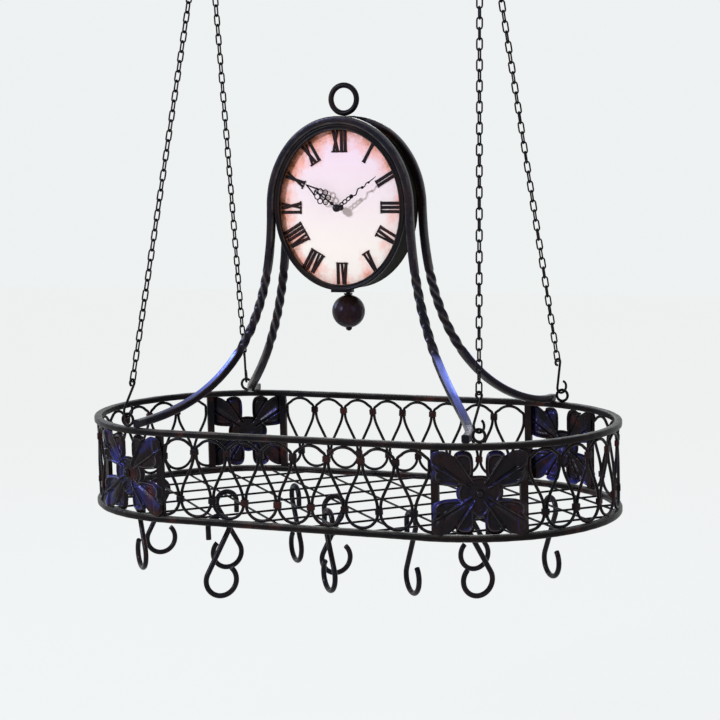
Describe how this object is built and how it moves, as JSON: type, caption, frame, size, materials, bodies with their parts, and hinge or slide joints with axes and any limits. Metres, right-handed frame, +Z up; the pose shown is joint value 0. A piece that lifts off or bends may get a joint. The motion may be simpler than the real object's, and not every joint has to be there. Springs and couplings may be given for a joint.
{
  "type": "hanging pot rack",
  "caption": "Ceiling-hung wrought-iron oval pot rack: scroll-work basket with lattice floor and S-hooks, twisted arches carrying an oval clock, two chain pairs.",
  "frame": {"origin": "on the ceiling, midway between the two ceiling hooks", "axes": "+Z up, +X to the right along the rack, -Y towards the side that the clock faces"},
  "size_m": [0.766, 0.402, 1.0577],
  "materials": {
    "iron": "satin near-black oil-rubbed finish over hammered iron, rust-red showing in patches",
    "collar_iron": "dark rust-red lacquered iron",
    "panel_iron": "satin near-black pressed iron with worn lighter edges",
    "chain_steel": "satin black coated steel",
    "hook_steel": "satin black coated steel",
    "pot_hook_iron": "satin black coated iron",
    "clock_black": "satin black painted steel",
    "dial_card": "off-white card with rust-brown staining near its rim",
    "numeral_black": "black",
    "hand_black": "black",
    "movement_plastic": "black moulded plastic",
    "battery_jacket": "plain dark jacket"
  },
  "bodies": {
    "ceiling": {"ceiling_hook_left": "hook_steel", "ceiling_hook_right": "hook_steel"},
    "left_ring": {"top_ring_left": "chain_steel"},
    "right_ring": {"top_ring_right": "chain_steel"},
    "left_chains": {"chain_front_left": "chain_steel", "chain_back_left": "chain_steel", "chain_hook_front_left": "chain_steel", "chain_hook_back_left": "chain_steel"},
    "right_chains": {"chain_front_right": "chain_steel", "chain_back_right": "chain_steel", "chain_hook_front_right": "chain_steel", "chain_hook_back_right": "chain_steel"},
    "basket": {"upper_rim": "iron", "lower_rim": "iron", "scroll_wire_front": "iron", "scroll_wire_right": "iron", "scroll_wire_back": "iron", "scroll_wire_left": "iron", "scroll_collars_front": "collar_iron", "scroll_collars_right": "collar_iron", "scroll_collars_back": "collar_iron", "scroll_collars_left": "collar_iron", "upright_bars": "iron", "leaf_panel_front_right": "panel_iron", "leaf_panel_front_left": "panel_iron", "leaf_panel_back_right": "panel_iron", "leaf_panel_back_left": "panel_iron", "panel_rivets": "panel_iron", "floor_rods_upper": "iron", "floor_rods_lower": "iron", "front_arch": "iron", "back_arch": "iron", "cross_plate": "iron", "carry_ring": "iron", "clock_case": "clock_black", "clock_bezel": "clock_black", "clock_back_cover": "clock_black", "clock_dial": "dial_card", "dial_numerals": "numeral_black", "clock_movement": "movement_plastic", "battery": "battery_jacket", "drop_plate": "iron", "finial_stem": "iron", "finial_ball": "iron", "rim_eyes": "chain_steel"},
    "hour_hand": {"hour_hand": "hand_black"},
    "minute_hand": {"minute_hand": "hand_black", "hand_nut": "hand_black"},
    "setting_knob": {"setting_knob": "movement_plastic"},
    "pot_hook_01": {"pot_hook_01": "pot_hook_iron"},
    "pot_hook_02": {"pot_hook_02": "pot_hook_iron"},
    "pot_hook_03": {"pot_hook_03": "pot_hook_iron"},
    "pot_hook_04": {"pot_hook_04": "pot_hook_iron"},
    "pot_hook_05": {"pot_hook_05": "pot_hook_iron"},
    "pot_hook_06": {"pot_hook_06": "pot_hook_iron"},
    "pot_hook_07": {"pot_hook_07": "pot_hook_iron"},
    "pot_hook_08": {"pot_hook_08": "pot_hook_iron"},
    "pot_hook_09": {"pot_hook_09": "pot_hook_iron"},
    "pot_hook_10": {"pot_hook_10": "pot_hook_iron"},
    "pot_hook_11": {"pot_hook_11": "pot_hook_iron"}
  },
  "joints": [
    {"name": "front_swing", "type": "hinge", "parent": "ceiling", "child": "left_ring", "pos_m": [-0.2032, 0, -0.03947], "axis": [1, 0, 0], "range_deg": [-10, 10]},
    {"name": "front_swing_right", "type": "hinge", "parent": "ceiling", "child": "right_ring", "pos_m": [0.2032, 0, -0.03947], "axis": [1, 0, 0], "range_deg": [-10, 10]},
    {"name": "side_swing", "type": "hinge", "parent": "left_ring", "child": "left_chains", "pos_m": [-0.2032, 0, -0.06582], "axis": [0, 1, 0], "range_deg": [-6, 6]},
    {"name": "side_swing_right", "type": "hinge", "parent": "right_ring", "child": "right_chains", "pos_m": [0.2032, 0, -0.06582], "axis": [0, 1, 0], "range_deg": [-6, 6]},
    {"name": "basket_level", "type": "hinge", "parent": "left_chains", "child": "basket", "pos_m": [-0.25332, 0, -0.77116], "axis": [0, 1, 0], "range_deg": [-4.9, 4.9]},
    {"name": "minute_hand_turn", "type": "hinge", "parent": "basket", "child": "minute_hand", "pos_m": [0, -0.0319, -0.49906], "axis": [0, 1, 0], "continuous": true},
    {"name": "hour_hand_turn", "type": "hinge", "parent": "basket", "child": "hour_hand", "pos_m": [0, -0.0295, -0.49906], "axis": [0, 1, 0], "continuous": true},
    {"name": "setting_knob_turn", "type": "hinge", "parent": "basket", "child": "setting_knob", "pos_m": [0, -0.0017, -0.49906], "axis": [0, 1, 0], "continuous": true},
    {"name": "pot_hook_01_swing", "type": "hinge", "parent": "basket", "child": "pot_hook_01", "pos_m": [-0.3037, -0.06965, -0.90987], "axis": [0.7071, 0.7071, 0], "range_deg": [-20, 20]},
    {"name": "pot_hook_02_swing", "type": "hinge", "parent": "basket", "child": "pot_hook_02", "pos_m": [-0.33337, 0.03709, -0.91287], "axis": [0.7071, -0.7071, 0], "range_deg": [-20, 20]},
    {"name": "pot_hook_03_swing", "type": "hinge", "parent": "basket", "child": "pot_hook_03", "pos_m": [-0.19163, -0.01626, -0.91287], "axis": [0.7071, -0.7071, 0], "range_deg": [-20, 20]},
    {"name": "pot_hook_04_swing", "type": "hinge", "parent": "basket", "child": "pot_hook_04", "pos_m": [-0.1248, -0.17147, -0.91287], "axis": [0.7071, -0.7071, 0], "range_deg": [-20, 20]},
    {"name": "pot_hook_05_swing", "type": "hinge", "parent": "basket", "child": "pot_hook_05", "pos_m": [-0.10748, 0.03818, -0.90987], "axis": [0.7071, 0.7071, 0], "range_deg": [-20, 20]},
    {"name": "pot_hook_06_swing", "type": "hinge", "parent": "basket", "child": "pot_hook_06", "pos_m": [-0.02828, -0.00283, -0.91287], "axis": [0.7071, -0.7071, 0], "range_deg": [-20, 20]},
    {"name": "pot_hook_07_swing", "type": "hinge", "parent": "basket", "child": "pot_hook_07", "pos_m": [0.01025, -0.10925, -0.90987], "axis": [0.7071, 0.7071, 0], "range_deg": [-20, 20]},
    {"name": "pot_hook_08_swing", "type": "hinge", "parent": "basket", "child": "pot_hook_08", "pos_m": [0.12162, -0.08627, -0.90987], "axis": [0.7071, 0.7071, 0], "range_deg": [-20, 20]},
    {"name": "pot_hook_09_swing", "type": "hinge", "parent": "basket", "child": "pot_hook_09", "pos_m": [0.15309, 0.08096, -0.91287], "axis": [0.7071, -0.7071, 0], "range_deg": [-20, 20]},
    {"name": "pot_hook_10_swing", "type": "hinge", "parent": "basket", "child": "pot_hook_10", "pos_m": [0.20863, -0.06297, -0.91287], "axis": [0.7071, -0.7071, 0], "range_deg": [-20, 20]},
    {"name": "pot_hook_11_swing", "type": "hinge", "parent": "basket", "child": "pot_hook_11", "pos_m": [0.27083, 0.06294, -0.90987], "axis": [0.7071, 0.7071, 0], "range_deg": [-20, 20]}
  ],
  "couplings": [
    {"joint": "front_swing_right", "follows": "front_swing", "ratio": 1},
    {"joint": "side_swing_right", "follows": "side_swing", "ratio": 1},
    {"joint": "basket_level", "follows": "side_swing", "ratio": -0.8022},
    {"joint": "hour_hand_turn", "follows": "minute_hand_turn", "ratio": 0.083333},
    {"joint": "setting_knob_turn", "follows": "minute_hand_turn", "ratio": 1}
  ]
}
